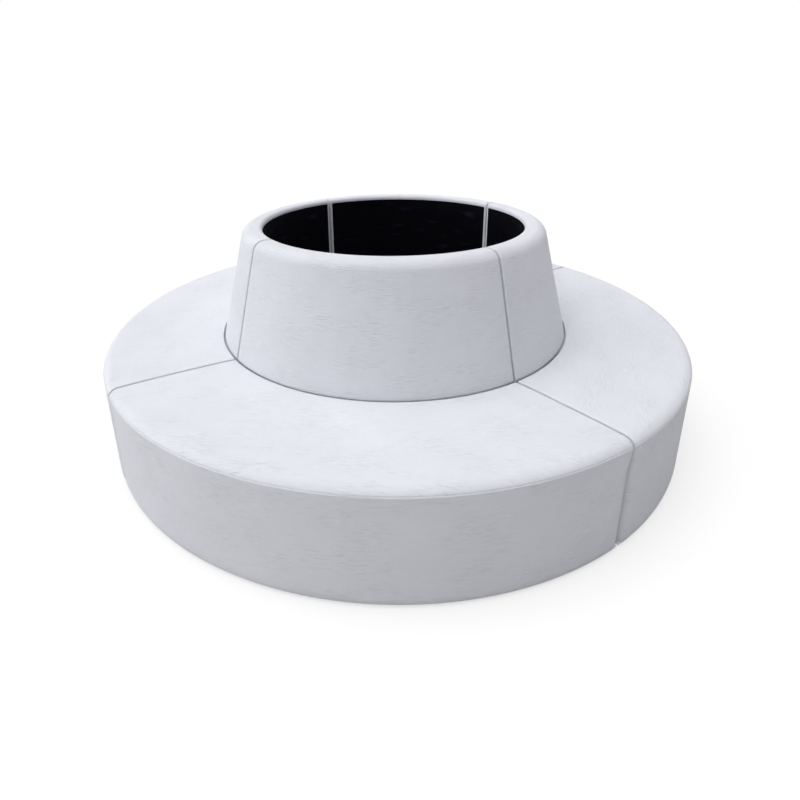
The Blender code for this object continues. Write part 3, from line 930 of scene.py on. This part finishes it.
def foam_material():
    made, tree, shader, place = new_material("foam", "object")
    cells = noise_at(tree, place, (FOAM_CELL,) * 3)
    tone = spread(tree, cells, FOAM_CONTRAST)
    dress(tree, shader, tone, FOAM_DARK, FOAM_LIGHT, FOAM_ROUGHNESS, cells, FOAM_BUMP, {})
    return made


def dust_material():
    made, tree, shader, place = new_material("dust", "weave")
    fibres = noise_at(tree, place, (DUST_FIBRE, DUST_FIBRE, 1), FIBRE_DETAIL)
    tone = spread(tree, fibres, DUST_CONTRAST)
    dress(tree, shader, tone, DUST_DARK, DUST_LIGHT, DUST_ROUGHNESS, fibres, DUST_BUMP, {})
    return made


def plywood_material(name, across):
    """Birch plywood. across is the axis, 0 to 2, that its layers are stacked along."""
    made, tree, shader, place = new_material(name, "object")
    lengths = [GRAIN_WIDTH, GRAIN_WIDTH, GRAIN_LENGTH]
    if across == 2:
        lengths.reverse()
    grain = noise_at(tree, place, lengths, FIBRE_DETAIL)
    fine = noise_at(tree, place, [length / FINE_GRAIN_SHRINK for length in lengths])
    parts = add(tree, "ShaderNodeSeparateXYZ", {0: place}).outputs
    layers = maths(tree, "SINE", maths(tree, "MULTIPLY", parts[across], math.pi / PLY_THICKNESS))
    normal = add(tree, "ShaderNodeNewGeometry").outputs["Normal"]
    facing = maths(tree, "ABSOLUTE", add(tree, "ShaderNodeSeparateXYZ", {0: normal}).outputs[across])
    on_edge = maths(tree, "LESS_THAN", facing, PLY_EDGE_LIMIT)
    face = spread(tree, grain, GRAIN_CONTRAST, WOOD_TONE)
    face = maths(tree, "ADD", face, spread(tree, fine, FINE_GRAIN_CONTRAST, 0.0))
    edge = maths(tree, "MULTIPLY_ADD", layers, PLY_CONTRAST, -PLY_DARKENING)
    tone = maths(tree, "MULTIPLY_ADD", on_edge, edge, face)
    dress(tree, shader, tone, WOOD_DARK, WOOD_LIGHT, WOOD_ROUGHNESS, grain, WOOD_BUMP, WOOD_FINISH)
    return made


def plastic_material():
    made, tree, shader, place = new_material("plastic", "object")
    grain = noise_at(tree, place, (PLASTIC_GRAIN,) * 3)
    tone = spread(tree, grain, PLASTIC_CONTRAST)
    dress(tree, shader, tone, PLASTIC_DARK, PLASTIC_LIGHT, PLASTIC_ROUGHNESS, grain, PLASTIC_BUMP, {})
    return made


def make_materials():
    return {
        "fabric": fabric_material(),
        "lining": lining_material(),
        "foam": foam_material(),
        "dust": dust_material(),
        "board": plywood_material("board", 2),
        "skin": plywood_material("skin", 1),
        "plastic": plastic_material(),
    }


# The camera, fitted to the photograph's outlines
CAMERA_AZIMUTH = 0.1696
CAMERA_DISTANCE = 2.6619
CAMERA_HEIGHT = 1.5273
CAMERA_PITCH = 0.3485
CAMERA_YAW = -0.0284
CAMERA_ROLL = -0.0152
PICTURE_PIXELS = 800
FOCAL_PIXELS = 563.5
AXIS_RIGHT_PIXELS = -21.9
AXIS_DOWN_PIXELS = -107.9
SENSOR_MILLIMETRES = 36.0


def make_camera():
    data = bpy.data.cameras.new("camera")
    data.sensor_width = SENSOR_MILLIMETRES
    data.lens = SENSOR_MILLIMETRES * FOCAL_PIXELS / PICTURE_PIXELS
    data.shift_x = -AXIS_RIGHT_PIXELS / PICTURE_PIXELS
    data.shift_y = AXIS_DOWN_PIXELS / PICTURE_PIXELS
    camera = link("camera", data)
    place = Vector((math.sin(CAMERA_AZIMUTH), -math.cos(CAMERA_AZIMUTH), 0)) * CAMERA_DISTANCE
    place.z = CAMERA_HEIGHT
    heading = Matrix.Rotation(CAMERA_AZIMUTH - CAMERA_YAW, 4, "Z")
    tilt = Matrix.Rotation(QUARTER - CAMERA_PITCH, 4, "X")
    roll = Matrix.Rotation(CAMERA_ROLL, 4, "Z")
    camera.matrix_world = Matrix.Translation(place) @ heading @ tilt @ roll
    bpy.context.scene.camera = camera


# The light: the way to a lamp, in axes turned to the camera, its strength, and how wide it is
LAMPS = {
    "key": ((-0.95, -0.1, 0.6), 0.64, math.radians(90)),
    "fill": ((1, 0.1, 0.5), 0.07, math.radians(60)),
    "top": ((0, 0, 1), 0.52, math.radians(60)),
}
WORLD_STRENGTH = 0.235
FLOOR_RADIUS = 30.0
FLOOR_SEGMENTS = 64
FLOOR_COLOUR = (0.55, 0.55, 0.55)
FLOOR_WHITE_SHARE = 0.62
WHITE = (1, 1, 1)


def seen_directly(tree):
    """1 for rays from the camera, also by way of a mirror or through glass."""
    path = add(tree, "ShaderNodeLightPath").outputs
    glossy = maths(tree, "MAXIMUM", path["Is Camera Ray"], path["Is Glossy Ray"])
    return maths(tree, "MAXIMUM", glossy, path["Is Transmission Ray"])


def make_light():
    """The lamps and the world. A lamp of strength 1 lights a surface that faces it in its own colour."""
    for name, (way, strength, angle) in LAMPS.items():
        direction = Vector(way)
        direction.rotate(Matrix.Rotation(CAMERA_AZIMUTH, 3, "Z"))
        data = bpy.data.lights.new(name, "SUN")
        data.energy = math.pi * strength
        data.angle = angle
        lamp = link(name, data)
        lamp.rotation_mode = "QUATERNION"
        lamp.rotation_quaternion = direction.to_track_quat("Z", "Y")
    world = bpy.data.worlds.new("world")
    world.use_nodes = True
    tree = world.node_tree
    inputs = {"Value": seen_directly(tree), "To Min": WORLD_STRENGTH, "To Max": 1.0}
    strength = add(tree, "ShaderNodeMapRange", inputs).outputs[0]
    tree.nodes["Background"].inputs["Color"].default_value = (*WHITE, 1)
    tree.links.new(strength, tree.nodes["Background"].inputs["Strength"])
    bpy.context.scene.world = world


def make_floor():
    """A floor that looks white with a soft shadow, and lights the sofa as a grey one."""
    made = bpy.data.materials.new("floor")
    made.use_nodes = True
    tree = made.node_tree
    tree.nodes.clear()
    lit = add(tree, "ShaderNodeBsdfDiffuse", {"Color": (*FLOOR_COLOUR, 1)}).outputs[0]
    shaded = add(tree, "ShaderNodeBsdfDiffuse", {"Color": (*WHITE, 1)}).outputs[0]
    white = add(tree, "ShaderNodeEmission", {"Color": (*WHITE, 1), "Strength": 1.0}).outputs[0]
    seen = add(tree, "ShaderNodeMixShader", {0: FLOOR_WHITE_SHARE, 1: shaded, 2: white}).outputs[0]
    mix = add(tree, "ShaderNodeMixShader", {0: seen_directly(tree), 1: lit, 2: seen})
    add(tree, "ShaderNodeOutputMaterial", {"Surface": mix.outputs[0]})
    disc = bmesh.new()
    bmesh.ops.create_circle(disc, cap_ends=True, segments=FLOOR_SEGMENTS, radius=FLOOR_RADIUS)
    mesh = bpy.data.meshes.new("floor")
    disc.to_mesh(mesh)
    disc.free()
    mesh.materials.append(made)
    link("floor", mesh)


# The material of each solid that stays, by the ending of its name
NODE_MATERIALS = {
    "frame": "board",
    "seat_deck": "board",
    "side_skin": "skin",
    "back_skin": "skin",
    "glide": "plastic",
}


def dress_nodes(nodes, materials):
    for name, node in nodes.items():
        for ending, material in NODE_MATERIALS.items():
            if name.endswith(ending):
                node.data.materials[0] = materials[material]


def main():
    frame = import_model()
    sizes = read_sizes()
    materials = make_materials()
    make_camera()
    make_light()
    make_floor()
    place_pads(*seat_pad(sizes, materials), "seat_pad", ["seat_cover", "seat_foam"], PAD_FILL)
    place_pads(*back_pad(sizes, materials), "back_pad", ["back_cover", "back_foam"], PAD_FILL)
    well_cloths(sizes, materials)
    base_cloths(sizes, materials)
    dress_nodes(frame["nodes"], materials)
    bpy.context.scene.view_settings.view_transform = "Standard"


main()
